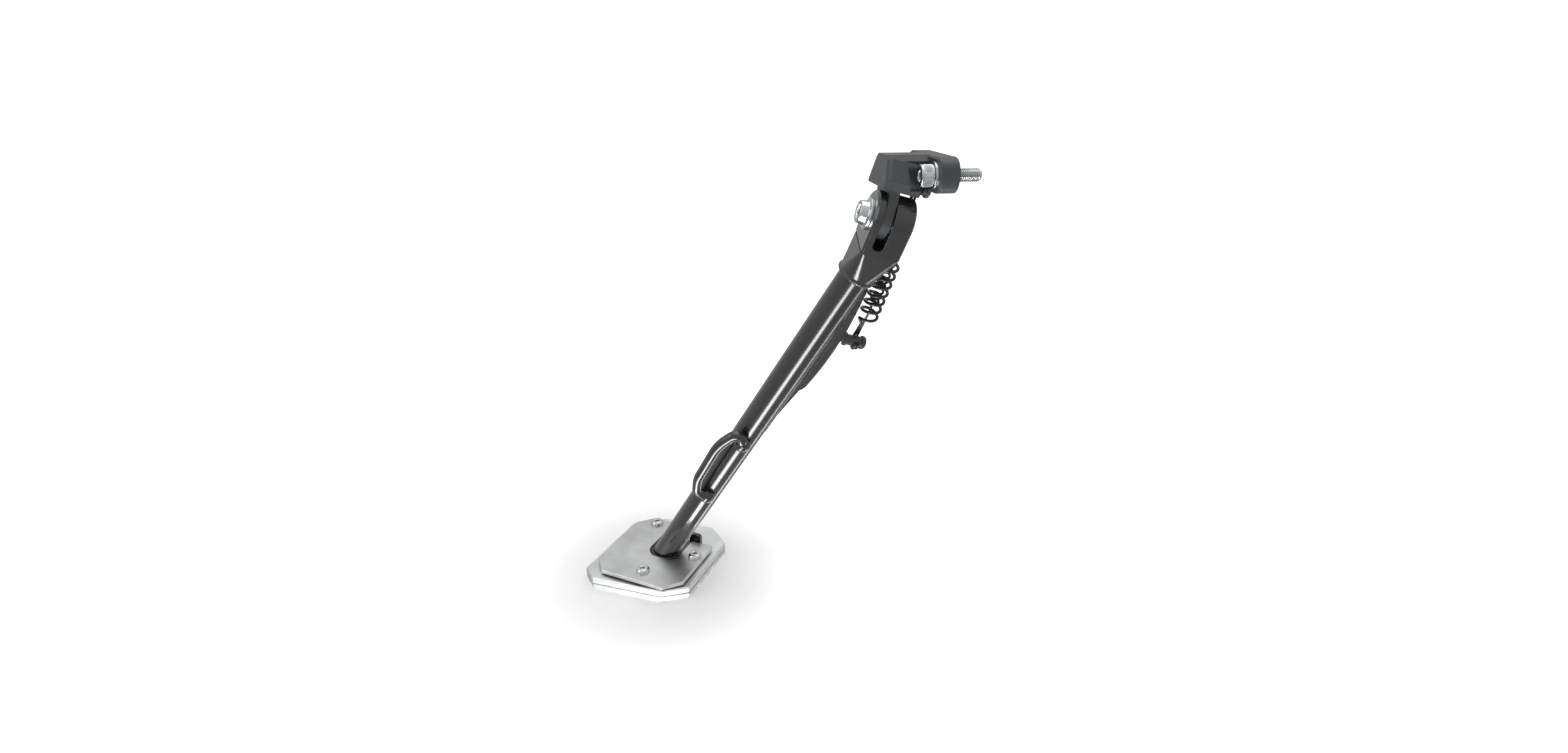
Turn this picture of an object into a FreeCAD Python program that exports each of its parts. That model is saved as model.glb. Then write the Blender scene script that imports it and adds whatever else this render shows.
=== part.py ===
import FreeCAD, Part
import math
import os

# Side stand of a motorcycle, with a bolt-on foot enlarger. Millimetres.
# Row frame: +X inboard (to the machine's right), +Y forward, +Z up. The origin is the centre of the
# two-bolt pattern, on the inboard face of the mounting bracket. The stand is modelled deployed.
V = FreeCAD.Vector

# --- pivot and leg angles -------------------------------------------------------------------
PIVOT = V(-32.0, -12.0, -28.0)       # point where the leg's axis crosses the pivot axis
PIVOT_TILT = 15.3                    # degrees, inboard end of the pivot bolt lower than its head
DEPLOYED = 19.2                      # degrees, leg swung forward of the pivot's own vertical
CANT = 10.95                         # degrees, tube splayed outboard from the fork's ears
LEG_LENGTH = 380.0                   # pivot to the top face of the clamp plate, along the tube
TUBE_R = 11.0
TUBE_BORE_R = 8.0
FIT = 0.05                           # radial gap of pieces that are fixed in each other

# --- fork and pivot (x along the pivot axis, inboard) ---------------------------------------
SLOT_OUT = -10.8                     # outboard wall of the fork's slot
SLOT_IN = -3.6                       # inboard wall of the fork's slot
EAR_OUT = -16.0                      # outboard face of the thin ear
EAR_IN = 9.5                         # inboard face of the thick, tapped ear
EAR_R = 15.5
SLOT_FLOOR = -15.5
FORK_END = -43.0                     # butt joint of fork and tube, along the tube
FORK_SHOULDER = -20.0                # where the ears' block starts to run into the round neck
NECK_R = 12.4
LUG_T = 6.0
LUG_R = 13.5
THRUST_T = 0.5
SHOULDER_R = 6.0
RUNNING_GAP = 0.04
BUSH_R = 8.0
THREAD_R = 5.0
PIVOT_HEAD_R = 10.0

# --- return springs --------------------------------------------------------------------------
POST_REACH = 25.0                    # pivot axis to the fixed spring post
PEG_Y = 8.0                          # peg, forward of the tube's centre line
PEG_Z = -101.3                       # peg, down from the pivot axis
SWING = 105.0                        # degrees, deployed to stowed
PIN_R = 4.0
PIN_HEAD_R = 5.0
PIN_DOME = 1.8                       # rounding of the heads of peg and post
PEG_BODY = (4.5, 17.5)               # peg below its domed head, along the pivot axis
PEG_END = 21.5
POST_BODY = (0.0, 18.0)
POST_END = 20.8
SPRING_X = 15.3                      # springs' common axis, along the pivot axis
# coil radius, wire radius, pitch, turns, the eyes' distance inboard of the coil's axis, and the length
# over which a shank is cranked in from the coil to its eye
SPRINGS = {"return_spring": (6.4, 1.15, 6.6, 7, -2.4, 4.6), "inner_spring": (3.2, 0.9, 4.2, 8, -0.1, 2.6)}
JOINT_SWELL = 1.01                   # ball at a bend of the wire, over the wire's own radius
COIL_TOP = -52.1                     # first turn, down from the post along the spring
HOOK_GAP = 0.3

# --- mounting bracket ------------------------------------------------------------------------
NOSE_GAP = 4.5                       # degrees between the stop nose and the fork when deployed
PLATE_T = 12.0
BOLT_SPACING = 50.0
BOLT_R = 4.0
BOLT_HOLE_R = 4.3
PLATE_R = 10.5                       # half the bracket plate's height
STUD_LENGTH = 16.0
SHANK_R = 3.7                        # reduced shank, inside the bracket

# --- gusset and heel loop --------------------------------------------------------------------
GUSSET_Y = 3.5
GUSSET_T = 8.0
# belly of the gusset (x, z) in the tube's frame: an arc through three points, then straight lines
GUSSET_ARC = [(15.6, -53.0), (22.4, -112.0), (20.8, -149.0)]
GUSSET_REST = [(17.2, -153.5), (12.2, -205.0), (7.0, -205.0), (7.0, -53.0)]
GUSSET_CHAMFER = 1.6
DOUBLER = ((7.0, 15.4), (1.7, 3.5), (-150.0, -55.0))     # strip welded on the gusset's rear face
GUSSET_BEADS = [(1.1, 1.9), (11.0, 1.7)]                 # y and radius of the two long beads
GUSSET_BEAD_Z = (-203.0, -55.0)
LOOP_R = 4.25
LOOP_Y = -12.8                       # the loop's own plane, on the tube's rear side
# corners of the loop's centre line (x, z) in the tube's frame, and its bend radii
LOOP_LINE = [(-2.6, -211.0), (-10.5, -197.5), (-19.5, -219.0),
             (-18.3, -262.0), (-13.0, -277.0), (-2.6, -280.0)]
LOOP_BENDS = [5.0, 40.0, 30.0, 9.0]
LOOP_WELDS = [(V(-2.6, -12.0, -211.0), 6.2), (V(-2.6, -12.0, -280.0), 6.0)]

# --- foot ------------------------------------------------------------------------------------
FOOT_YAW = -29.6                     # degrees, the foot plates' long direction about +Z
FOOT_OFFSET = (7.3, 4.4)             # tube's axis from the centre of the clamp plate, at its top
BASE_T = 12.0
CLAMP_Z = 14.0
CLAMP_T = 3.0
POCKET_Z = 8.5
CLAMP_SIZE = (88.4, 88.9)
CLAMP_CHAMFER = 13.5
SCREWS = [(-23.5, 36.6), (4.1, -31.3), (36.5, 4.7)]
SCREW_R = 3.0
SCREW_HEAD_R = 6.0
SCREW_HEAD_T = 3.8
SPACER_R = 5.0
FOOT_PLATE = ((-28.0, 30.5), (-19.0, 29.0))
POCKET = ((-29.0, 31.5), (-20.0, 30.0))
PLATE_CORNER_R = 8.0
TONGUE = ((19.0, 30.5), (25.6, 29.0))
TONGUE_TOP = 24.0
BASE_OUTLINE = [(-50.5, -41.0), (-36.0, -51.5), (30.0, -44.0), (49.3, -29.5),
                (48.8, 40.0), (26.0, 58.0), (-24.0, 54.5), (-50.5, 34.0)]
BELT = (5.5, 6.6, 1.6)               # groove round the base: bottom, top and depth
GRIP = (7, 14.0, 4.0, 1.8)           # grooves underneath: number, spacing, width and depth
SLOT_R = 12.7                        # rear of the clamp plate's slot, round the leg
SLOT_SIDES = (-9.2, 22.0)
DOME_R = 6.7                         # crown of the button heads


def frame(origin, x_axis, z_axis):
    """Placement matrix with the given origin, x direction and z direction."""
    y_axis = z_axis.cross(x_axis)
    return FreeCAD.Matrix(x_axis.x, y_axis.x, z_axis.x, origin.x,
                          x_axis.y, y_axis.y, z_axis.y, origin.y,
                          x_axis.z, y_axis.z, z_axis.z, origin.z,
                          0, 0, 0, 1)


def lifted(z):
    """Placement matrix of a plain rise along z."""
    return frame(V(0, 0, z), V(1, 0, 0), V(0, 0, 1))


def turned(angle, first, second):
    """Unit vector at an angle from first towards second, which is perpendicular to it."""
    a = math.radians(angle)
    return first * math.cos(a) + second * math.sin(a)


AXIS = turned(-PIVOT_TILT, V(1, 0, 0), V(0, 0, 1))           # along the pivot, inboard
FIXED_UP = turned(PIVOT_TILT, V(0, 0, 1), V(1, 0, 0))
EARS_UP = turned(-DEPLOYED, FIXED_UP, V(0, 1, 0))
TUBE_UP = turned(CANT, EARS_UP, AXIS)
TUBE_IN = turned(-CANT, AXIS, EARS_UP)
BRACKET_FRAME = frame(PIVOT, AXIS, FIXED_UP)
FORK_FRAME = frame(PIVOT, AXIS, EARS_UP)
TUBE_FRAME = frame(PIVOT, TUBE_IN, TUBE_UP)

FOOT_U = turned(FOOT_YAW, V(1, 0, 0), V(0, 1, 0))
FOOT_V = V(0, 0, 1).cross(FOOT_U)
CLAMP_TOP = CLAMP_Z + CLAMP_T
FOOT_CENTRE = PIVOT - TUBE_UP * LEG_LENGTH - FOOT_U * FOOT_OFFSET[0] - FOOT_V * FOOT_OFFSET[1]
FOOT_FRAME = frame(FOOT_CENTRE - V(0, 0, CLAMP_TOP), FOOT_U, V(0, 0, 1))    # z = 0 on the ground


def placed(shape, matrix):
    return shape.transformed(matrix, True)


def tube_in_foot(radius):
    """The tube as a long slanted cylinder in the foot's frame."""
    back = FOOT_FRAME.inverse().multiply(TUBE_FRAME)
    return placed(Part.makeCylinder(radius, LEG_LENGTH + 120.0, V(0, 0, -LEG_LENGTH - 60.0)), back)


def box(x, y, z):
    """Box from three (low, high) pairs."""
    return Part.makeBox(x[1] - x[0], y[1] - y[0], z[1] - z[0], V(x[0], y[0], z[0]))


def rod_x(radius, x0, x1, y=0.0, z=0.0):
    """Cylinder along x."""
    return Part.makeCylinder(radius, x1 - x0, V(x0, y, z), V(1, 0, 0))


def ring_x(outer, inner, x0, x1, y=0.0, z=0.0):
    return rod_x(outer, x0, x1, y, z).cut(rod_x(inner, x0 - 1, x1 + 1, y, z))


def prism(points, z0, z1):
    """Upright prism over an outline of (x, y) points."""
    wire = Part.makePolygon([V(x, y, z0) for x, y in points + points[:1]])
    return Part.Face(wire).extrude(V(0, 0, z1 - z0))


def slab_x(points, x0, x1):
    """Prism along x over an outline of (y, z) points."""
    wire = Part.makePolygon([V(x0, y, z) for y, z in points + points[:1]])
    return Part.Face(wire).extrude(V(x1 - x0, 0, 0))


def rounded_rectangle(width, depth, radius, centre, matrix):
    """Closed wire of four sides and four corner arcs, in the plane z = 0 of a frame."""
    w, d, k = width / 2 - radius, depth / 2 - radius, radius * math.sqrt(0.5)
    cx, cy = centre
    edges = []
    corners = [(w, d, 1, 1), (-w, d, -1, 1), (-w, -d, -1, -1), (w, -d, 1, -1)]
    for i, (x, y, sx, sy) in enumerate(corners):
        on_side = V(cx + x + sx * radius, cy + y, 0)
        on_end = V(cx + x, cy + y + sy * radius, 0)
        middle = V(cx + x + sx * k, cy + y + sy * k, 0)
        start, stop = (on_side, on_end) if i % 2 == 0 else (on_end, on_side)
        edges.append(Part.Arc(start, middle, stop).toShape())
        nx, ny, nsx, nsy = corners[(i + 1) % 4]
        across, along = (nsx * radius, 0) if i % 2 else (0, nsy * radius)
        edges.append(Part.LineSegment(stop, V(cx + nx + across, cy + ny + along, 0)).toShape())
    return placed(Part.Wire(edges), matrix)


def hex_prism(across_flats, z0, z1):
    r = across_flats / math.sqrt(3.0)
    turns = [math.radians(60 * i) for i in range(6)]
    return prism([(r * math.cos(a), r * math.sin(a)) for a in turns], z0, z1)


def swept(path_edges, radius, start, direction):
    """Round bar along a path of lines and arcs."""
    profile = Part.Wire(Part.makeCircle(radius, start, direction))
    return Part.Wire(path_edges).makePipeShell([profile], True, False)


def export(name, shape):
    shape.exportStep("parts/" + name + ".step")
    print("%-18s solids %d valid %s volume %.0f" % (name, len(shape.Solids), shape.isValid(), shape.Volume))


# ---------------------------------------------------------------------------------------------
# Fork and pivot, in the fork's frame: x along the pivot axis, z up the ears
# ---------------------------------------------------------------------------------------------

def fork_head():
    ears = box((EAR_OUT, EAR_IN), (-EAR_R, EAR_R), (FORK_SHOULDER, 0)).fuse(rod_x(EAR_R, EAR_OUT, EAR_IN))
    ears = ears.makeChamfer(1.2, [e for e in ears.Edges if abs(e.CenterOfMass.x - EAR_IN) < 0.01
                                  or abs(e.CenterOfMass.x - EAR_OUT) < 0.01])
    to_fork = FORK_FRAME.inverse().multiply(TUBE_FRAME)
    neck_frame = to_fork.multiply(lifted(FORK_END))
    shoulder_frame = lifted(FORK_SHOULDER)
    middle = (EAR_OUT + EAR_IN) / 2
    wide = rounded_rectangle(EAR_IN - EAR_OUT, 2 * EAR_R, 3.0, (middle, 0), shoulder_frame)
    round_end = rounded_rectangle(2 * NECK_R, 2 * NECK_R, NECK_R - 0.1, (0, 0), neck_frame)
    body = ears.fuse(Part.makeLoft([wide, round_end], True, True))
    corner = 3.0
    slot = box((SLOT_OUT, SLOT_IN), (-30, 30), (SLOT_FLOOR + corner, 40))
    slot = slot.fuse(box((SLOT_OUT + corner, SLOT_IN - corner), (-30, 30), (SLOT_FLOOR, 0)))
    for x in (SLOT_OUT + corner, SLOT_IN - corner):
        slot = slot.fuse(Part.makeCylinder(corner, 60, V(x, -30, SLOT_FLOOR + corner), V(0, 1, 0)))
    body = body.cut(slot)
    body = body.cut(rod_x(SHOULDER_R + FIT, EAR_OUT - 1, SLOT_IN - 2))
    return body.cut(rod_x(THREAD_R + FIT, SLOT_IN - 3, EAR_IN + 1)).removeSplitter()


def pivot_bolt():
    """Flanged shoulder bolt: its head lies on the thin ear and its thread ends flush in the thick one."""
    flange = rod_x(PIVOT_HEAD_R, EAR_OUT - 2.0, EAR_OUT)
    head = rod_x(7.0, EAR_OUT - 7.5, EAR_OUT - 2.0)
    head = head.makeChamfer(1.0, [e for e in head.Edges if abs(e.CenterOfMass.x - EAR_OUT + 7.5) < 0.01])
    socket = hex_prism(8.0, 0, 5.0)
    socket.rotate(V(0, 0, 0), V(0, 1, 0), 90)
    socket.translate(V(EAR_OUT - 8.0, 0, 0))
    shank = rod_x(SHOULDER_R, EAR_OUT, SLOT_IN).fuse(rod_x(THREAD_R, SLOT_IN, EAR_IN - 0.5))
    return flange.fuse([head, shank]).cut(socket).removeSplitter()


def pivot_bush():
    lug_mid = (SLOT_OUT + SLOT_IN) / 2
    return ring_x(BUSH_R, SHOULDER_R + RUNNING_GAP, lug_mid - LUG_T / 2, lug_mid + LUG_T / 2)


def thrust_washers():
    lug_mid = (SLOT_OUT + SLOT_IN) / 2
    starts = [lug_mid - LUG_T / 2 - THRUST_T, lug_mid + LUG_T / 2]
    return Part.makeCompound([ring_x(11.0, SHOULDER_R + RUNNING_GAP, x, x + THRUST_T) for x in starts])


def headed_pin(root, body_end, end, y, z):
    """Round pin along x with a domed head at its inboard end."""
    body = rod_x(PIN_R, root, body_end, y, z)
    head = rod_x(PIN_HEAD_R, body_end, end, y, z)
    rim = [e for e in head.Edges if abs(e.CenterOfMass.x - end) < 0.01]
    return body.fuse(head.makeFillet(PIN_DOME, rim)).removeSplitter()


def spring_peg():
    """Headed peg riveted through the gusset, parallel to the pivot."""
    return headed_pin(PEG_BODY[0], PEG_BODY[1], PEG_END, PEG_Y, PEG_Z)


# ---------------------------------------------------------------------------------------------
# Leg, in the tube's frame: z up the tube, x inboard
# ---------------------------------------------------------------------------------------------

def leg_tube(foot_slab):
    tube = Part.makeCylinder(TUBE_R, LEG_LENGTH + 20 + FORK_END, V(0, 0, -LEG_LENGTH - 20))
    bore = Part.makeCylinder(TUBE_BORE_R, LEG_LENGTH + 20, V(0, 0, -LEG_LENGTH - 20))
    return tube.cut(bore).cut(foot_slab)


def gusset_plate():
    """Spring plate along the tube's inboard side: bellied at the peg, with a step, then a long flare."""
    arc = [V(x, GUSSET_Y, z) for x, z in GUSSET_ARC]
    rest = [V(x, GUSSET_Y, z) for x, z in GUSSET_REST]
    outline = Part.Wire([Part.Arc(*arc).toShape()] + Part.makePolygon([arc[-1]] + rest + [arc[0]]).Edges)
    plate = Part.Face(outline).extrude(V(0, GUSSET_T, 0))
    belly = [e for e in plate.Edges if e.Curve.TypeId == "Part::GeomCircle"]
    plate = plate.makeChamfer(GUSSET_CHAMFER, belly).fuse(box(*DOUBLER)).removeSplitter()
    return plate.cut(Part.makeCylinder(TUBE_R, 300, V(0, 0, -280)))


def gusset_weld(plate):
    """Two fillet beads where the gusset meets the tube."""
    beads = []
    low, high = GUSSET_BEAD_Z
    for y, r in GUSSET_BEADS:
        x = math.sqrt(max(TUBE_R ** 2 - y ** 2, 4.0))
        bead = Part.makeCylinder(r, high - low, V(x, y, low))
        beads.append(bead.cut(Part.makeCylinder(TUBE_R, 300, V(0, 0, -280))).cut(plate))
    return Part.makeCompound([s for b in beads for s in b.Solids])


def head_weld(fork):
    bead = Part.makeTorus(TUBE_R + 0.5, 1.9, V(0, 0, FORK_END - 0.6))
    return bead.cut(Part.makeCylinder(TUBE_R, 60, V(0, 0, FORK_END - 40))).cut(fork)


def foot_loop():
    """Heel loop: a bent round bar whose two ends are welded on the tube's rear face."""
    line = [V(x, LOOP_Y, z) for x, z in LOOP_LINE]
    edges = []
    last = line[0]
    for before, corner, after, bend in zip(line, line[1:], line[2:], LOOP_BENDS):
        into = (corner - before).normalize()
        out = (after - corner).normalize()
        half = into.getAngle(out) / 2
        cut = bend * math.tan(half)
        start, stop = corner - into * cut, corner + out * cut
        middle = corner + (out - into).normalize() * (bend / math.cos(half) - bend)
        edges += [Part.LineSegment(last, start).toShape(), Part.Arc(start, middle, stop).toShape()]
        last = stop
    edges.append(Part.LineSegment(last, line[-1]).toShape())
    bar = swept(edges, LOOP_R, line[0], line[1] - line[0])
    return bar.cut(Part.makeCylinder(TUBE_R, 300, V(0, 0, -330)))


def loop_welds(loop):
    """A blob of weld round each end of the heel loop."""
    beads = []
    for centre, radius in LOOP_WELDS:
        ball = Part.makeSphere(radius, centre)
        beads.append(ball.cut(Part.makeCylinder(TUBE_R, 300, V(0, 0, -330))).cut(loop))
    return Part.makeCompound([s for b in beads for s in b.Solids])


# ---------------------------------------------------------------------------------------------
# Foot, in the foot's frame: z up from the ground, x along the plates
# ---------------------------------------------------------------------------------------------

def octagon(size, chamfer):
    a, b, c = size[0] / 2, size[1] / 2, chamfer
    quarter = [(a, -b + c), (a, b - c), (a - c, b), (-a + c, b)]
    return quarter + [(-x, -y) for x, y in quarter]


def outer_corners(shape):
    """The upright edges of a plate, all but the one beside the tongue."""
    upright = [e for e in shape.Edges if abs(e.tangentAt(e.FirstParameter).z) > 0.9]
    return [e for e in upright if e.CenterOfMass.x < 0 or e.CenterOfMass.y < 0]


def foot_plate():
    """The stand's own foot, with a tongue turned up at its inboard corner."""
    plate = box(FOOT_PLATE[0], FOOT_PLATE[1], (POCKET_Z, CLAMP_Z))
    plate = plate.makeFillet(PLATE_CORNER_R, outer_corners(plate))
    tongue = box(TONGUE[0], TONGUE[1], (POCKET_Z, TONGUE_TOP))
    rounded = [e for e in tongue.Edges if abs(e.tangentAt(e.FirstParameter).y) > 0.9]
    tongue = tongue.makeFillet(3.0, [e for e in rounded if e.CenterOfMass.z > CLAMP_TOP])
    return plate.fuse(tongue).removeSplitter()


def foot_weld():
    ring = tube_in_foot(TUBE_R + 1.1).cut(tube_in_foot(TUBE_R))
    return ring.common(box((-60, 60), (-60, 60), (CLAMP_Z, CLAMP_Z + 1.8)))


def clamp_plate():
    """Top plate, open to the rear for the leg; its inboard arm is shorter than its outboard one."""
    plate = prism(octagon(CLAMP_SIZE, CLAMP_CHAMFER), CLAMP_Z, CLAMP_TOP)
    slot_r = SLOT_R
    slot_left, slot_right = SLOT_SIDES
    mid = FOOT_OFFSET[1]
    low = mid - slot_r
    slot = Part.makeCylinder(slot_r, 20, V(slot_left + slot_r, mid, 5))
    slot = slot.fuse(box((slot_left + slot_r, slot_right - 8), (low, mid), (5, 25)))
    slot = slot.fuse(Part.makeCylinder(8, 20, V(slot_right - 8, low + 8, 5)))
    slot = slot.fuse(box((slot_right - 8, slot_right), (low + 8, mid), (5, 25)))
    slot = slot.fuse(box((slot_left, slot_right), (mid, 60), (5, 25)))
    relief = [(41.0, 26.0), (45.5, 22.6), (60, 22.6), (60, 60)]
    cutaway = prism([(slot_right - 1, 24.2)] + relief + [(slot_right - 1, 60)], 5, 25)
    plate = plate.cut(slot.fuse(cutaway))
    rim = [e for e in plate.Edges if e.BoundBox.ZLength < 0.01 and e.CenterOfMass.z > CLAMP_TOP - 0.01]
    plate = plate.makeChamfer(0.5, rim)
    for u, v in SCREWS:
        plate = plate.cut(Part.makeCylinder(SCREW_R + 0.3, 20, V(u, v, 5)))
    return plate


def clamp_screws():
    """Button-head socket screws."""
    screws = []
    for u, v in SCREWS:
        ball = Part.makeSphere(DOME_R, V(0, 0, CLAMP_TOP + SCREW_HEAD_T - DOME_R))
        head = Part.makeCylinder(SCREW_HEAD_R, SCREW_HEAD_T, V(0, 0, CLAMP_TOP)).common(ball)
        shank = Part.makeCylinder(SCREW_R, 14, V(0, 0, CLAMP_TOP - 14))
        screw = head.fuse(shank).cut(hex_prism(4.0, CLAMP_TOP + 1.3, CLAMP_TOP + 5)).removeSplitter()
        screw.translate(V(u, v, 0))
        screws.append(screw)
    return Part.makeCompound(screws)


def clamp_spacers():
    rings = []
    for u, v in SCREWS:
        ring = Part.makeCylinder(SPACER_R, CLAMP_Z - BASE_T, V(u, v, BASE_T))
        rings.append(ring.cut(Part.makeCylinder(SCREW_R + 0.2, 20, V(u, v, 0))))
    return Part.makeCompound(rings)


def base_plate():
    """Aluminium base: octagonal, grooved round its edge into two tiers, with grip grooves underneath."""
    base = prism(BASE_OUTLINE, 0, BASE_T)
    base = base.makeChamfer(1.0, [e for e in base.Edges if e.BoundBox.ZLength < 0.01])
    low, high, depth = BELT
    face = Part.Face(Part.makePolygon([V(x, y, 0) for x, y in BASE_OUTLINE + BASE_OUTLINE[:1]]))
    core = face.makeOffset2D(-depth).extrude(V(0, 0, BASE_T))
    base = base.cut(prism(BASE_OUTLINE, low, high).cut(core))
    pocket = box(POCKET[0], POCKET[1], (POCKET_Z, BASE_T + 1))
    base = base.cut(pocket.makeFillet(PLATE_CORNER_R, outer_corners(pocket)))
    count, spacing, width, deep = GRIP
    for i in range(count):
        y = (i - (count - 1) / 2) * spacing
        base = base.cut(box((-70, 70), (y - width / 2, y + width / 2), (-1, deep)))
    for u, v in SCREWS:
        base = base.cut(Part.makeCylinder(SCREW_R + FIT, 12, V(u, v, 2)))
    return base


# ---------------------------------------------------------------------------------------------
# Mounting bracket and its fasteners
# ---------------------------------------------------------------------------------------------

def polar(radius, angle):
    """(y, z) at an angle from straight down towards the front, about the pivot."""
    return radius * math.sin(math.radians(angle)), -radius * math.cos(math.radians(angle))


def mounting_bracket(post):
    lug_mid = (SLOT_OUT + SLOT_IN) / 2
    lug = (lug_mid - LUG_T / 2, lug_mid + LUG_T / 2)
    tongue = rod_x(LUG_R, lug[0], lug[1]).fuse(slab_x([(-LUG_R, 0), (LUG_R, 0), (24, 22), (-10, 22)], *lug))
    nose_start = DEPLOYED + math.degrees(math.atan2(EAR_R, -SLOT_FLOOR)) + NOSE_GAP
    nose = slab_x([polar(9, nose_start), polar(26.5, nose_start), polar(26.5, nose_start + 24),
                   polar(9, nose_start + 50)], *lug)
    block = slab_x([(-11, 17.2), (27, 17.2), (30, 22), (27, 35), (-3, 35), (-13, 23)], EAR_OUT + 0.5, 7.6)
    block = block.makeFillet(3.0, [e for e in block.Edges if e.CenterOfMass.z > 24
                                   and abs(e.CenterOfMass.x - EAR_OUT - 0.5) < 0.01])
    body = tongue.fuse([nose, block])
    body = body.cut(rod_x(BUSH_R, lug[0] - 1, lug[1] + 1))
    body = placed(body, BRACKET_FRAME)
    half = BOLT_SPACING / 2
    plate = box((-PLATE_T, 0), (-half, half), (-PLATE_R, PLATE_R))
    for y in (-half, half):
        plate = plate.fuse(rod_x(PLATE_R, -PLATE_T, 0, y))
    plate = plate.cut(box((-PLATE_T - 1, 1), (-11, 11), (-PLATE_R - 1, -2.5)))
    plate = plate.makeChamfer(1.0, [e for e in plate.Edges if abs(e.CenterOfMass.x + PLATE_T) < 0.01])
    bridge = slab_x([(-12, -1), (13, -1), (13, 8), (9, 10.5), (-8, 10.5), (-12, 7)], -38, -PLATE_T + 0.5)
    body = body.fuse([plate, bridge]).removeSplitter()
    for y in (-half, half):
        body = body.cut(rod_x(BOLT_HOLE_R, -PLATE_T - 1, 1, y))
        body = body.cut(rod_x(9.2, -PLATE_T - 14, -PLATE_T, y))
    return body.cut(placed(post, BRACKET_FRAME))


def bracket_bolts():
    """Two socket-head cap screws; their shanks stand out of the bracket's inboard face."""
    bolts = []
    for y in (-BOLT_SPACING / 2, BOLT_SPACING / 2):
        under = -PLATE_T - 1.6
        head = rod_x(6.5, under - 8, under, y)
        head = head.makeChamfer(0.8, [e for e in head.Edges if abs(e.CenterOfMass.x - under + 8) < 0.01])
        socket = hex_prism(6.0, 0, 4.5)
        socket.rotate(V(0, 0, 0), V(0, 1, 0), 90)
        socket.translate(V(under - 8.5, y, 0))
        shank = rod_x(SHANK_R, under, 0, y).fuse(rod_x(BOLT_R, 0, STUD_LENGTH, y))
        bolts.append(head.fuse(shank).cut(socket).removeSplitter())
    return Part.makeCompound(bolts)


def bracket_washers():
    places = (-BOLT_SPACING / 2, BOLT_SPACING / 2)
    return Part.makeCompound([ring_x(8.0, BOLT_R + 0.2, -PLATE_T - 1.6, -PLATE_T, y) for y in places])


# ---------------------------------------------------------------------------------------------
# Springs: over-centre, equally long when deployed and when stowed
# ---------------------------------------------------------------------------------------------

PEG_ANGLE = math.degrees(math.atan2(PEG_Y, -PEG_Z)) + DEPLOYED     # from straight down, towards the front
POST_Y, POST_Z = (-k for k in polar(POST_REACH, PEG_ANGLE - SWING / 2))


def spring_post():
    return headed_pin(POST_BODY[0], POST_BODY[1], POST_END, POST_Y, POST_Z)


def spring_frame():
    """z runs from the peg up to the post, with its origin on the post's axis."""
    peg_y, peg_z = polar(math.hypot(PEG_Y, PEG_Z), PEG_ANGLE)
    line = V(0, POST_Y - peg_y, POST_Z - peg_z)
    to_row = BRACKET_FRAME
    origin = to_row.multiply(V(SPRING_X, POST_Y, POST_Z))
    up = (to_row.multiply(line) - to_row.multiply(V(0, 0, 0))).normalize()
    return frame(origin, AXIS, up), line.Length


def hook(coil_r, wire_r, eye_x, crank_z, from_z, pin_z):
    """Shank from a coil's end, cranked in towards the coil's axis, and an open eye round a pin along x.

    The pieces come back unfused, with a ball at each bend.
    """
    r = PIN_R + wire_r + HOOK_GAP
    way = 1 if from_z > pin_z else -1
    coil_end = V(-coil_r, 0, from_z)
    elbow = V(eye_x, 0, from_z - way * crank_z)
    phi = math.acos(r / abs(elbow.z - pin_z))

    def at(angle):
        return V(eye_x, r * math.sin(angle), pin_z + way * r * math.cos(angle))
    line = Part.LineSegment(elbow, at(phi)).toShape()
    eye = Part.Arc(at(phi), at(phi + math.radians(105)), at(phi + math.radians(210))).toShape()
    crank = Part.makeCylinder(wire_r, (elbow - coil_end).Length, coil_end, elbow - coil_end)
    joints = [Part.makeSphere(wire_r * JOINT_SWELL, end) for end in (coil_end, elbow)]
    return [crank, swept([line, eye], wire_r, elbow, at(phi) - elbow)] + joints


def spring(coil_r, wire_r, pitch, turns, eye_x, crank_z, length):
    bottom = COIL_TOP - pitch * turns
    helix = Part.makeHelix(pitch, pitch * turns, coil_r)
    helix.translate(V(0, 0, bottom))
    helix.rotate(V(0, 0, 0), V(0, 0, 1), 180)
    slope = math.atan2(pitch, 2 * math.pi * coil_r)
    start = V(-coil_r, 0, bottom)
    profile = Part.Wire(Part.makeCircle(wire_r, start, V(0, -math.cos(slope), math.sin(slope))))
    coil = Part.Wire(helix.Edges).makePipeShell([profile], True, True)
    wire = (coil_r, wire_r, eye_x, crank_z)
    pieces = hook(*wire, bottom, -length) + hook(*wire, COIL_TOP, 0)
    body = coil
    for piece in pieces:
        body = body.fuse(piece)
    return body


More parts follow.
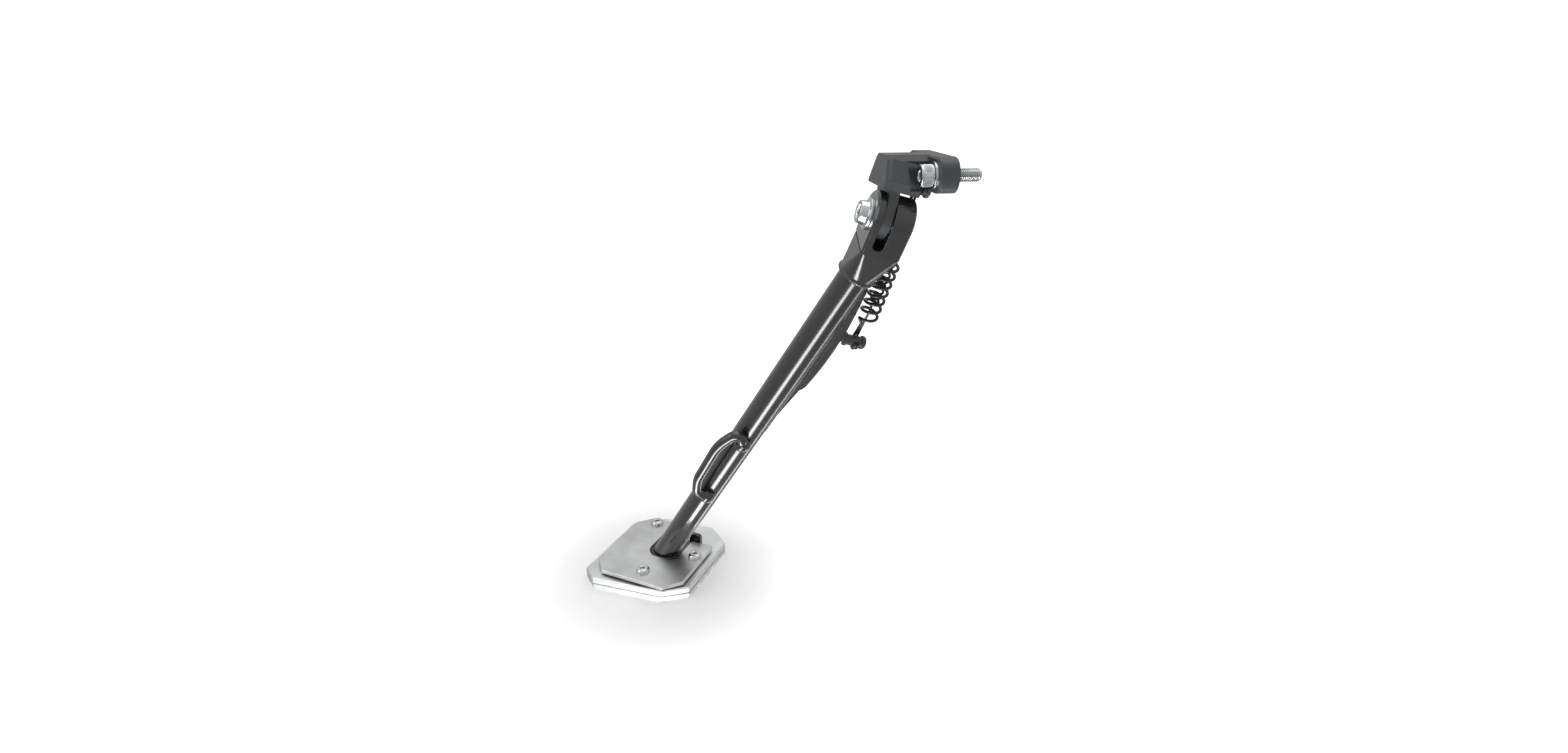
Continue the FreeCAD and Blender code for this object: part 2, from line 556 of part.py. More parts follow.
def main():
    os.makedirs("parts", exist_ok=True)
    fork = fork_head()
    export("fork_head", placed(fork, FORK_FRAME))
    export("pivot_bolt", placed(pivot_bolt(), FORK_FRAME))
    export("pivot_bush", placed(pivot_bush(), BRACKET_FRAME))
    export("thrust_washers", placed(thrust_washers(), BRACKET_FRAME))

    fork_to_tube = TUBE_FRAME.inverse().multiply(FORK_FRAME)
    foot_to_tube = TUBE_FRAME.inverse().multiply(FOOT_FRAME)
    ground_side = placed(box((-200, 200), (-200, 200), (-100, CLAMP_Z)), foot_to_tube)
    peg_in_tube = placed(spring_peg(), fork_to_tube)
    plate = gusset_plate().cut(peg_in_tube)
    loop = foot_loop()
    export("leg_tube", placed(leg_tube(ground_side), TUBE_FRAME))
    export("gusset_plate", placed(plate, TUBE_FRAME))
    export("gusset_weld", placed(gusset_weld(plate), TUBE_FRAME))
    export("spring_peg", placed(peg_in_tube, TUBE_FRAME))
    export("head_weld", placed(head_weld(placed(fork, fork_to_tube)), TUBE_FRAME))
    export("foot_loop", placed(loop, TUBE_FRAME))
    export("loop_welds", placed(loop_welds(loop), TUBE_FRAME))

    export("foot_plate", placed(foot_plate(), FOOT_FRAME))
    export("foot_weld", placed(foot_weld(), FOOT_FRAME))
    export("clamp_plate", placed(clamp_plate(), FOOT_FRAME))
    export("clamp_screws", placed(clamp_screws(), FOOT_FRAME))
    export("clamp_spacers", placed(clamp_spacers(), FOOT_FRAME))
    export("base_plate", placed(base_plate(), FOOT_FRAME))

    post = spring_post()
    export("mounting_bracket", mounting_bracket(post))
    export("bracket_bolts", bracket_bolts())
    export("bracket_washers", bracket_washers())
    export("spring_post", placed(post, BRACKET_FRAME))

    matrix, length = spring_frame()
    for name, sizes in SPRINGS.items():
        export(name, placed(spring(*sizes, length), matrix))


main()
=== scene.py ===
"""Side stand of a motorcycle with a bolt-on foot enlarger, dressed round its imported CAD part.

Lengths are metres in the row frame: +X inboard, +Y forward, +Z up. Every new surface is worked out as
whole arrays, and every finished object sits at the origin with its place in its mesh.
"""
import logging
import math
from dataclasses import dataclass, field
from enum import Enum

import bpy
import numpy as np
from mathutils import Matrix, Vector


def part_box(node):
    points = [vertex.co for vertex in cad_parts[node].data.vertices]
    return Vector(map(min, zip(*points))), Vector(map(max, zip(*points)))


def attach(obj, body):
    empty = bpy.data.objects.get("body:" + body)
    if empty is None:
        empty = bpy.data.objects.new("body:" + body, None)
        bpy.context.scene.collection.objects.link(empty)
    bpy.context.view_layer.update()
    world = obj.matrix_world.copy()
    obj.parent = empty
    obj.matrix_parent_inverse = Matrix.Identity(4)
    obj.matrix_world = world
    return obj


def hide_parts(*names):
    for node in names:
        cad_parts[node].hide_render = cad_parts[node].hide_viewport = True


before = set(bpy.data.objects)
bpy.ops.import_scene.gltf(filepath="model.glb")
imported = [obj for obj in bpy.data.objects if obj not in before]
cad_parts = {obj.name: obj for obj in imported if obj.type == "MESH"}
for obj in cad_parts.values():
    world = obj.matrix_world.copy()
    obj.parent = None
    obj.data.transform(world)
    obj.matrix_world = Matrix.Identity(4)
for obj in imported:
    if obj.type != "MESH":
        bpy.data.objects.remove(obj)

LOG = logging.getLogger("side_stand")
MM = 0.001
Array = np.ndarray


# ---------------------------------------------------------------------------------------------
# Frames
# ---------------------------------------------------------------------------------------------

def unit(vector: Array) -> Array:
    """Vector, or rows of vectors, divided by their own length.

    Args:
        vector: one vector or an array with vectors along its last axis.

    Returns:
        An array of the same shape with unit length vectors.
    """
    return vector / np.linalg.norm(vector, axis=-1, keepdims=True)


def turned(degrees: float, first: Array, second: Array) -> Array:
    """Unit vector at an angle from first towards second: first times cosine plus second times sine.

    Args:
        degrees: the angle.
        first: unit vector the angle starts from.
        second: unit vector a quarter turn further on.

    Returns:
        The turned unit vector.
    """
    angle = math.radians(degrees)
    return first * math.cos(angle) + second * math.sin(angle)


@dataclass(frozen=True)
class Axes:
    """A right-handed local frame: its origin, and its x and z directions, in the row frame."""

    origin: Array
    x: Array
    z: Array

    @property
    def y(self) -> Array:
        """The y direction, which is z cross x."""
        return np.cross(self.z, self.x)

    def place(self, points: Array) -> Array:
        """Row-frame points: the origin plus each local coordinate times its own direction.

        Args:
            points: local coordinates along the last axis, in metres.

        Returns:
            Points of the same shape in the row frame.
        """
        return self.origin + np.asarray(points, float) @ np.stack([self.x, self.y, self.z])

    def facing(self, local_z: Array, local_x: Array, at: Array) -> "Axes":
        """A second frame inside this one, such as a screw's own.

        Args:
            local_z: the second frame's z direction, in this frame's coordinates.
            local_x: its x direction, in this frame's coordinates.
            at: its origin, in this frame's coordinates.

        Returns:
            The second frame in the row frame.
        """
        nil = self.place(np.zeros(3))
        return Axes(self.place(np.array(at)), self.place(np.array(local_x)) - nil, self.place(np.array(local_z)) - nil)


@dataclass(frozen=True)
class Layout:
    """The stand's own angles and sizes, the same as in the part: they give each sub-assembly its frame."""

    pivot: tuple[float, float, float] = (-0.032, -0.012, -0.028)
    pivot_tilt: float = 15.3
    deployed: float = 19.2
    cant: float = 10.95
    leg_length: float = 0.380
    foot_yaw: float = -29.6
    foot_offset: tuple[float, float] = (0.0073, 0.0044)
    clamp_top: float = 0.017

    @property
    def axis(self) -> Array:
        """Direction of the pivot axis, inboard."""
        return turned(-self.pivot_tilt, np.array([1.0, 0, 0]), np.array([0, 0, 1.0]))

    @property
    def bracket(self) -> Axes:
        """Frame of the fixed pivot parts: x inboard along the pivot, z up."""
        up = turned(self.pivot_tilt, np.array([0, 0, 1.0]), np.array([1.0, 0, 0]))
        return Axes(np.array(self.pivot), self.axis, up)

    @property
    def fork(self) -> Axes:
        """Frame of the fork's ears: the bracket's, swung forward to the deployed angle."""
        return Axes(np.array(self.pivot), self.axis, turned(-self.deployed, self.bracket.z, np.array([0, 1.0, 0])))

    @property
    def tube(self) -> Axes:
        """Frame of the leg's tube: z up the tube, x inboard."""
        up = turned(self.cant, self.fork.z, self.axis)
        return Axes(np.array(self.pivot), turned(-self.cant, self.axis, self.fork.z), up)

    @property
    def foot(self) -> Axes:
        """Frame of the foot: z up from the ground, x along the plates."""
        along = turned(self.foot_yaw, np.array([1.0, 0, 0]), np.array([0, 1.0, 0]))
        across = np.cross(np.array([0, 0, 1.0]), along)
        top = self.tube.place(np.array([0, 0, -self.leg_length]))
        centre = top - along * self.foot_offset[0] - across * self.foot_offset[1]
        return Axes(centre - np.array([0, 0, self.clamp_top]), along, np.array([0, 0, 1.0]))


LAYOUT = Layout()


# ---------------------------------------------------------------------------------------------
# Surfaces as arrays
# ---------------------------------------------------------------------------------------------

@dataclass(frozen=True)
class Shell:
    """One closed surface: its points, its quads and the triangles that close its poles."""

    points: Array
    quads: Array
    triangles: Array


def skin(rings: Array, closed: bool = False) -> Shell:
    """Joins rings of points into a closed surface whose faces point away from the rings' own axis.

    Point j of ring i joins point j + 1 of the same ring and point j of ring i + 1. The rings turn
    anticlockwise about the way they follow each other. An open run is closed by a fan at each end.

    Args:
        rings: array of (rings, points in a ring, 3).
        closed: True when the last ring joins the first.

    Returns:
        The closed surface.
    """
    count, around = rings.shape[:2]
    here = np.arange(count if closed else count - 1)[:, None] * around
    ahead = np.roll(np.arange(count), -1)[:, None][: len(here)] * around
    left, right = np.arange(around)[None], np.roll(np.arange(around), -1)[None]
    quads = np.stack([here + left, here + right, ahead + right, ahead + left], -1).reshape(-1, 4)
    points = rings.reshape(-1, 3)
    if closed:
        return Shell(points, quads, np.zeros((0, 3), int))
    first, last = len(points), len(points) + 1
    end = (count - 1) * around
    a, b = np.arange(around), np.roll(np.arange(around), -1)
    start_fan = np.stack([np.full(around, first), b, a], -1)
    end_fan = np.stack([np.full(around, last), end + a, end + b], -1)
    points = np.vstack([points, rings[0].mean(0), rings[-1].mean(0)])
    return Shell(points, quads, np.vstack([start_fan, end_fan]))


def make_piece(name: str, shells: list[Shell], crease: float = 38.0) -> bpy.types.Object:
    """One object from closed surfaces, shaded smooth apart from edges sharper than an angle.

    Args:
        name: the object's name.
        shells: its surfaces.
        crease: degrees between two faces above which their edge stays sharp.

    Returns:
        The new object, at the origin, with its place in its mesh.
    """
    offsets = np.cumsum([0] + [len(s.points) for s in shells])
    points = np.vstack([s.points for s in shells])
    quads = np.vstack([s.quads + o for s, o in zip(shells, offsets)])
    triangles = np.vstack([s.triangles + o for s, o in zip(shells, offsets)])
    mesh = bpy.data.meshes.new(name)
    mesh.vertices.add(len(points))
    mesh.vertices.foreach_set("co", points.astype(np.float32).ravel())
    corners = np.concatenate([quads.ravel(), triangles.ravel()]).astype(np.int32)
    starts = np.concatenate([np.arange(len(quads)) * 4, len(quads) * 4 + np.arange(len(triangles)) * 3])
    mesh.loops.add(len(corners))
    mesh.loops.foreach_set("vertex_index", corners)
    mesh.polygons.add(len(starts))
    mesh.polygons.foreach_set("loop_start", starts.astype(np.int32))
    mesh.update(calc_edges=True)
    mesh.validate()
    mesh.shade_smooth()
    mesh.set_sharp_from_angle(angle=math.radians(crease))
    piece = bpy.data.objects.new(name, mesh)
    bpy.context.scene.collection.objects.link(piece)
    return piece


def carried(path: Array, normals: Array, radius: Array, around: int, closed: bool) -> Shell:
    """A round section carried along a path: point plus radius times (normal cosine + binormal sine).

    The tangent is the central difference of the path, the normal is made square to it, and the
    binormal is tangent cross normal.

    Args:
        path: points along the path, (count, 3).
        normals: a direction off the path at each point, (count, 3).
        radius: radius at each point and angle, broadcast to (count, around).
        around: points round the section.
        closed: True when the path is a loop.

    Returns:
        The closed surface.
    """
    if closed:
        tangent = unit(np.roll(path, -1, 0) - np.roll(path, 1, 0))
    else:
        tangent = unit(np.gradient(path, axis=0))
    normal = unit(normals - tangent * (normals * tangent).sum(-1, keepdims=True))
    binormal = np.cross(tangent, normal)
    angle = np.arange(around) / around * 2 * math.pi
    spokes = normal[:, None] * np.cos(angle)[None, :, None] + binormal[:, None] * np.sin(angle)[None, :, None]
    reach = np.broadcast_to(radius, (len(path), around))[..., None]
    return skin(path[:, None] + spokes * reach, closed)


def arc_length(path: Array, closed: bool = False) -> Array:
    """Distance along a path at each of its points, and the whole loop's length after them if closed.

    Args:
        path: points along the path.
        closed: True to count the way back to the first point as well.

    Returns:
        Distances, one per point, with one more when closed.
    """
    ends = np.vstack([path, path[:1]]) if closed else path
    return np.concatenate([[0.0], np.cumsum(np.linalg.norm(np.diff(ends, axis=0), axis=1))])


def respaced(path: Array, step: float, closed: bool = False) -> Array:
    """The same path with its points an even distance apart.

    Args:
        path: points along the path.
        step: wanted distance between points.
        closed: True when the path is a loop.

    Returns:
        The evenly spaced points.
    """
    along = arc_length(path, closed)
    ends = np.vstack([path, path[:1]]) if closed else path
    count = max(int(round(along[-1] / step)), 8)
    wanted = np.linspace(0.0, along[-1], count, endpoint=not closed)
    return np.stack([np.interp(wanted, along, ends[:, k]) for k in range(3)], -1)


def rounded_profile(corners: list[tuple[float, float]], radius: list[float], steps: int = 5) -> Array:
    """A profile of straight runs whose corners are swapped for parabolic blends.

    Each inner corner is replaced by a curve of two straight pulls: the start times (1 - t) squared,
    the corner times 2 t (1 - t), and the stop times t squared, cut back from the corner by its radius.

    Args:
        corners: (distance from the axis, height) of each corner, in metres.
        radius: how far each inner corner is cut back, first and last corner left out.
        steps: points in each blend.

    Returns:
        Profile points, (count, 2).
    """
    ends = np.array(corners, float)
    t = np.linspace(0.0, 1.0, steps)[:, None]
    runs = [ends[:1]]
    for before, corner, after, r in zip(ends, ends[1:], ends[2:], radius):
        start = corner + unit(before - corner) * min(r, np.linalg.norm(before - corner) * 0.48)
        stop = corner + unit(after - corner) * min(r, np.linalg.norm(after - corner) * 0.48)
        runs.append(start * (1 - t) ** 2 + corner * 2 * t * (1 - t) + stop * t ** 2 if r > 0 else corner[None])
    return np.vstack(runs + [ends[-1:]])


@dataclass(frozen=True)
class Turned:
    """A turned part, as rows of rings about its own z axis, from its low pole to its high one.

    A row's radius is its profile radius times a hexagon's outline where the row belongs to a hexagon
    socket, less a knurl's ridges where it belongs to a knurled rim, less a thread's groove where it
    belongs to a thread.
    """

    axes: Axes
    around: int = 96
    rows: list[Array] = field(default_factory=list)

    @property
    def angle(self) -> Array:
        """Angles round the axis."""
        return np.arange(self.around) / self.around * 2 * math.pi

    def _add(self, radius: Array, height: Array) -> None:
        """Adds rows given their radius and height, each broadcast to (rows, points around).

        Args:
            radius: distances from the axis.
            height: places along the axis.
        """
        shape = (len(radius), self.around)
        r, z = np.broadcast_to(radius, shape), np.broadcast_to(height, shape)
        self.rows.append(np.stack([r * np.cos(self.angle), r * np.sin(self.angle), z], -1))

    def plain(self, profile: Array) -> "Turned":
        """Adds a round run: the profile's own radius at every angle.

        Args:
            profile: (radius, height) of each row.

        Returns:
            This part.
        """
        self._add(profile[:, :1], profile[:, 1:])
        return self

    def knurled(self, radius: float, low: float, high: float, ridges: int, depth: float) -> "Turned":
        """Adds a straight knurl: the radius less the depth times a ridge wave, fading to nothing at both ends.

        Args:
            radius: radius over the ridges.
            low: height where it starts.
            high: height where it ends.
            ridges: number of ridges round the rim.
            depth: groove depth.

        Returns:
            This part.
        """
        t = np.linspace(0.0, 1.0, 9)[:, None]
        fade = np.clip(np.minimum(t, 1 - t) * 8, 0, 1)
        wave = 0.5 - 0.5 * np.cos(self.angle[None] * ridges)
        self._add(radius - depth * fade * wave, low + (high - low) * t)
        return self

    def threaded(self, radius: float, low: float, high: float, pitch: float) -> "Turned":
        """Adds a screw thread: the radius less the depth times how far a point is from the crest of its turn.

        Args:
            radius: radius at the crests.
            low: height where it starts.
            high: height where it ends.
            pitch: rise per turn.

        Returns:
            This part.
        """
        z = np.arange(low, high, pitch / 8)[:, None]
        phase = (z / pitch - self.angle[None] / (2 * math.pi)) % 1.0
        groove = np.clip(np.abs(phase * 2 - 1) * 1.25 - 0.12, 0, 1)
        ends = np.clip(np.minimum(z - low, high - z) / pitch, 0, 1)
        self._add(radius - 0.6 * pitch * (1 - ends * (1 - groove)), z)
        return self

    def hexagon(self, flats: float, top: float, bottom: float, lead: float) -> "Turned":
        """Adds a hexagon socket that goes down: half the flats over the cosine of the angle off each flat.

        Args:
            flats: distance across the flats.
            top: height of its mouth.
            bottom: height of its floor.
            lead: size of the lead-in chamfer at the mouth.

        Returns:
            This part.
        """
        side = flats / 2 / np.cos(self.angle % (math.pi / 3) - math.pi / 6)[None]
        mouth = flats / math.sqrt(3) + lead
        rows = [np.full_like(side, mouth), np.maximum(side + lead * 0.3, side), side, side, side * 0.96]
        heights = [top, top - lead * 0.7, top - lead * 1.2, bottom + lead * 0.3, bottom]
        self._add(np.vstack(rows), np.array(heights)[:, None])
        cone = np.array([[flats * 0.30, bottom - lead * 0.2], [flats * 0.04, bottom - flats * 0.16]])
        self._add(cone[:, :1], cone[:, 1:])
        return self

    def shell(self) -> Shell:
        """The closed surface in the row frame."""
        return skin(self.axes.place(np.vstack(self.rows)))


@dataclass(frozen=True)
class Bead:
    """A weld bead laid in overlapping puddles.

    Its radius is the bead's own, times one plus the ripple, times one plus a slow unevenness. The
    ripple falls off steeply behind each puddle's front, and the front bows towards the bead's middle.
    """

    radius: float
    pitch: float = 1.7 * MM
    ripple: float = 0.16
    bow: float = 0.35
    around: int = 20

    def laid(self, path: Array, out: Array, closed: bool) -> Shell:
        """The bead along a path, with rounded ends where the path is open.

        Args:
            path: centre line, evenly spaced.
            out: direction away from the corner at each point.
            closed: True when the path is a loop.

        Returns:
            The closed surface in the row frame.
        """
        along = arc_length(path, closed)
        whole = along[-1]
        puddles = max(round(whole / self.pitch), 1)
        s = along[: len(path), None] / whole
        angle = np.arange(self.around)[None] / self.around * 2 * math.pi
        phase = (s * puddles - self.bow * np.cos(angle)) % 1.0
        ripple = self.ripple * (phase ** 0.6 * (1 - phase) ** 0.35 * 1.9 - 0.8)
        slow = 0.05 * np.sin(s * 2 * math.pi * 3 + 0.7) + 0.04 * np.sin(s * 2 * math.pi * 7 + 2.1)
        radius = self.radius * (1 + ripple) * (1 + slow)
        if not closed:
            reach = np.minimum(s, 1 - s) * whole / (self.radius * 1.4)
            radius = radius * np.sqrt(np.clip(1 - (1 - np.clip(reach, 0, 1)) ** 2, 0.004, 1))
        return carried(path, out, radius, self.around, closed)


# ---------------------------------------------------------------------------------------------
# Finishes
# ---------------------------------------------------------------------------------------------

def linear(code: str) -> tuple[float, float, float, float]:
    """Scene-linear colour of an sRGB hex code: each channel over 12.92 when small, else the 2.4 power curve.

    Args:
        code: six hex digits after a hash.

    Returns:
        Red, green, blue and an alpha of one.
    """
    channels = [int(code[i:i + 2], 16) / 255 for i in (1, 3, 5)]
    return tuple(c / 12.92 if c <= 0.04045 else ((c + 0.055) / 1.055) ** 2.4 for c in channels) + (1.0,)


def add_node(tree: bpy.types.NodeTree, kind: str, settings: dict | None = None,
             links: dict | None = None) -> bpy.types.Node:
    """Adds one node to a tree.

    Args:
        tree: the tree.
        kind: the node's type name.
        settings: values of its input sockets, by name or number, or of its own properties; none when left out.
        links: output sockets to join to its input sockets, by name or number; none when left out.

    Returns:
        The node.
    """
    node = tree.nodes.new(kind)
    for key, value in (settings or {}).items():
        if isinstance(key, int) or key in node.inputs:
            node.inputs[key].default_value = value
        else:
            setattr(node, key, value)
    for key, socket in (links or {}).items():
        tree.links.new(socket, node.inputs[key])
    return node


class Grain(Enum):
    """How a surface was made, which settles the pattern of its bump and its gloss."""

    ORANGE_PEEL = "flowed paint"
    CAST = "sand-cast skin"
    BRUSHED = "brushed one way"
    MILLED = "face-milled, then blasted"
    CLOUDY = "plated"
    POROUS = "sintered"
    CRYSTAL = "phosphated"


@dataclass(frozen=True)
class Finish:
    """A real material and how its surface was made.

    Attributes:
        name: common name and process.
        slot: the record's material slot.
        colour: sRGB hex colour of the surface.
        worn: sRGB hex colour that its rubbed edges tend to.
        metallic: 1 for a bare metal, 0 for a paint.
        roughness: typical roughness.
        spread: how far the roughness wanders.
        grain: how the surface was made.
        size: size of the grain in millimetres.
        depth: depth of the grain in millimetres.
        edge: radius in millimetres that the edges are broken to.
        wear: how much of an edge shows the worn colour.
        heading: turn of a directional grain about +Z, in degrees.
        coat: strength of a clear top layer.
        coat_roughness: its roughness.
    """

    name: str
    slot: str
    colour: str
    worn: str
    metallic: float
    roughness: float
    grain: Grain
    size: float
    depth: float
    spread: float = 0.08
    edge: float = 0.4
    wear: float = 0.3
    heading: float = 0.0
    coat: float = 0.0
    coat_roughness: float = 0.1

    def _stretch(self) -> tuple[float, float, float]:
        """Pattern cells per metre along x, y and z: long cells along the brush, round ones otherwise."""
        fine = 1000.0 / self.size
        return (fine / 40.0, fine, fine / 40.0) if self.grain in (Grain.BRUSHED, Grain.MILLED) else (fine,) * 3

    def build(self) -> bpy.types.Material:
        """The finish as a material.

        Height is a pattern over the grain's cells, by how the surface was made, roughness wanders with a fine noise
        over the same cells, and the colour tends to the worn one where the rounded edge's direction leaves the face's
        own.

        Returns:
            The material.
        """
        material = bpy.data.materials.new(self.name)
        material.use_nodes = True
        tree = material.node_tree
        tree.nodes.clear()
        place = add_node(tree, "ShaderNodeTexCoord")
        cells = add_node(tree, "ShaderNodeMapping",
                         {"Rotation": (0, 0, -math.radians(self.heading)), "Scale": self._stretch()},
                         {"Vector": place.outputs["Object"]})
        fine = add_node(tree, "ShaderNodeTexNoise", {"Scale": 1.0, "Detail": 4.0, "Roughness": 0.6},
                        {"Vector": cells.outputs["Vector"]})
        slow = add_node(tree, "ShaderNodeTexNoise", {"Scale": 45.0, "Detail": 3.0, "Roughness": 0.55},
                        {"Vector": place.outputs["Object"]})
        height = self._height(tree, cells, fine.outputs["Fac"])
        rounded = add_node(tree, "ShaderNodeBevel", {"samples": 4, "Radius": self.edge * MM})
        bump = add_node(tree, "ShaderNodeBump", {"Strength": 1.0, "Distance": self.depth * MM},
                        {"Height": height, "Normal": rounded.outputs["Normal"]})
        face = add_node(tree, "ShaderNodeNewGeometry")
        bend = add_node(tree, "ShaderNodeVectorMath", {"operation": "DOT_PRODUCT"},
                        {0: rounded.outputs["Normal"], 1: face.outputs["Normal"]})
        rubbed = add_node(tree, "ShaderNodeMapRange", {"From Min": 0.995, "From Max": 0.86},
                          {"Value": bend.outputs["Value"]})
        patchy = add_node(tree, "ShaderNodeMapRange",
                          {"From Min": 0.42, "From Max": 0.66, "To Min": 0.0, "To Max": self.wear},
                          {"Value": slow.outputs["Fac"]})
        bare = add_node(tree, "ShaderNodeMath", {"operation": "MULTIPLY"},
                        {0: rubbed.outputs["Result"], 1: patchy.outputs["Result"]})
        tint = add_node(tree, "ShaderNodeMapRange",
                        {"From Min": 0.35, "From Max": 0.65, "To Min": 0.88, "To Max": 1.08},
                        {"Value": slow.outputs["Fac"]})
        base = add_node(tree, "ShaderNodeHueSaturation", {"Color": linear(self.colour)},
                        {"Value": tint.outputs["Result"]})
        colour = add_node(tree, "ShaderNodeMixRGB", {"Color2": linear(self.worn)},
                          {"Fac": bare.outputs["Value"], "Color1": base.outputs["Color"]})
        rough = add_node(tree, "ShaderNodeMapRange",
                         {"From Min": 0.3, "From Max": 0.7, "To Min": self.roughness - self.spread,
                          "To Max": self.roughness + self.spread}, {"Value": fine.outputs["Fac"]})
        shader = add_node(tree, "ShaderNodeBsdfPrincipled",
                          {"Metallic": self.metallic, "Coat Weight": self.coat, "Coat Roughness": self.coat_roughness},
                          {"Base Color": colour.outputs["Color"], "Roughness": rough.outputs["Result"],
                           "Normal": bump.outputs["Normal"], "Coat Normal": rounded.outputs["Normal"]})
        if not self.metallic:
            shader.inputs["IOR"].default_value = 1.5
        add_node(tree, "ShaderNodeOutputMaterial", None, {"Surface": shader.outputs["BSDF"]})
        return material

    def _height(self, tree: bpy.types.NodeTree, cells: bpy.types.Node,
                fine: bpy.types.NodeSocket) -> bpy.types.NodeSocket:
        """Height of the surface, by how it was made.

        Args:
            tree: the material's tree.
            cells: mapping that counts the grain's cells.
            fine: value of the noise over those cells.

        Returns:
            The socket that carries the height.
        """
        if self.grain in (Grain.POROUS, Grain.CRYSTAL):
            spots = add_node(tree, "ShaderNodeTexVoronoi", {"Scale": 1.0, "feature": "F1"},
                             {"Vector": cells.outputs["Vector"]})
            return spots.outputs["Distance"]
        if self.grain is Grain.CAST:
            skin_bumps = add_node(tree, "ShaderNodeTexNoise", {"Scale": 0.35, "Detail": 2.0},
                                  {"Vector": cells.outputs["Vector"]})
            both = add_node(tree, "ShaderNodeMath", {"operation": "MULTIPLY_ADD", 1: 0.5},
                            {0: fine, 2: skin_bumps.outputs["Fac"]})
            return both.outputs["Value"]
        return fine


# Powder-coated steel: a thick gloss black that flowed out, so long clean highlights with a faint orange peel.
LEG_PAINT = Finish("powder_coated_steel_gloss_black", "leg_paint", "#161719", "#4a4b4d", 0.0, 0.26,
                   Grain.ORANGE_PEEL, 2.4, 0.003, spread=0.02, edge=0.6, wear=0.15, coat=0.8,
                   coat_roughness=0.10)
# Painted aluminium casting: satin dark grey over a sand-cast skin.
BRACKET_PAINT = Finish("painted_cast_aluminium_satin_grey", "bracket_paint", "#2f3133", "#6d6f70", 0.0, 0.42,
                       Grain.CAST, 0.7, 0.10, spread=0.06, edge=0.9, wear=0.35)
# Zinc-plated steel: bright silver with a slight cloudiness.
ZINC = Finish("zinc_plated_steel", "zinc_plate", "#c3c6c7", "#dcdedd", 1.0, 0.24,
              Grain.CLOUDY, 2.0, 0.006, spread=0.07, edge=0.25, wear=0.4)
# Sintered bronze: dull golden brown, open-pored and oil-wet.
BRONZE = Finish("sintered_bronze", "sintered_bronze", "#a5845a", "#c8a878", 1.0, 0.42,
                Grain.POROUS, 0.5, 0.03, edge=0.2)
# Ground steel shim stock: clean grey with a fine directional polish.
THRUST = Finish("ground_spring_steel_shim", "thrust_steel", "#a9abad", "#c9cbcc", 1.0, 0.28,
                Grain.CLOUDY, 0.8, 0.008, edge=0.1)
# Phosphated steel: dark grey crystals that hold oil, so a soft dull sheen.
PHOSPHATE = Finish("phosphated_steel", "phosphated_steel", "#4b4c4e", "#8c8d8e", 0.85, 0.40,
                   Grain.CRYSTAL, 0.45, 0.02, edge=0.3, wear=0.6)
# Oil-tempered spring wire, blacked: nearly black with a narrow shine along the wire.
WIRE = Finish("oil_tempered_spring_wire_black", "spring_steel", "#3c3d3f", "#8b8c8e", 0.8, 0.30,
              Grain.CLOUDY, 0.9, 0.010, edge=0.15, wear=0.2)
# Stainless sheet, brushed along the plate: long fine scratches, drawn a little coarser than real to show.
BRUSHED = Finish("brushed_stainless_sheet", "brushed_stainless", "#cfd0d0", "#f2f3f3", 1.0, 0.40,
                 Grain.BRUSHED, 0.5, 0.003, spread=0.05, edge=0.5, wear=0.9, heading=LAYOUT.foot_yaw)
# Stainless button-head screws, barrel-polished: bright and smooth.
SCREWS = Finish("polished_stainless_screw", "stainless_screw", "#d2d3d3", "#eeeeee", 1.0, 0.14,
                Grain.CLOUDY, 1.6, 0.003, spread=0.04, edge=0.2, wear=0.4)
# Aluminium plate, milled and blasted: matt silver, with bright facets where its edges were cut last.
MILLED = Finish("milled_blasted_aluminium", "machined_aluminium", "#e0e1e2", "#f4f5f5", 1.0, 0.42,
                Grain.MILLED, 0.6, 0.004, spread=0.06, edge=0.4, wear=0.8, heading=LAYOUT.foot_yaw)


class Paintshop:
    """Makes each finish once, and gives it to CAD nodes and new pieces."""

    def __init__(self) -> None:
        """Starts with no material made."""
        self._made: dict[str, bpy.types.Material] = {}

    def material(self, finish: Finish) -> bpy.types.Material:
        """The finish's material, made the first time it is asked for."""
        if finish.name not in self._made:
            self._made[finish.name] = finish.build()
        return self._made[finish.name]

    def dress(self, thing: bpy.types.Object, finish: Finish) -> None:
        """Gives an object one finish, in every material slot it has.

        Args:
            thing: a CAD node's object or a new piece.
            finish: its finish.
        """
        slots = thing.data.materials
        if not len(slots):
            slots.append(self.material(finish))
        for index in range(len(slots)):
            slots[index] = self.material(finish)

    def dress_nodes(self, names: list[str], finish: Finish) -> None:
        """Gives CAD nodes one finish.

        Args:
            names: the nodes.
            finish: their finish.
        """
        for name in names:
            self.dress(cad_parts[name], finish)
            LOG.info("node %s: %s", name, finish.name)

    def fit(self, piece: bpy.types.Object, body: str, finish: Finish, *stands_for: str) -> None:
        """Finishes a new piece: its material, the nodes it stands for and the body it rides on.

        Args:
            piece: the new piece.
            body: the body it moves with.
            finish: its finish.
            stands_for: CAD nodes that it replaces.
        """
        self.dress(piece, finish)
        if stands_for:
            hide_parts(*stands_for)
        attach(piece, body)
        LOG.info("piece %s on %s: %d faces", piece.name, body, len(piece.data.polygons))


# ---------------------------------------------------------------------------------------------
# Sub-assemblies
# ---------------------------------------------------------------------------------------------

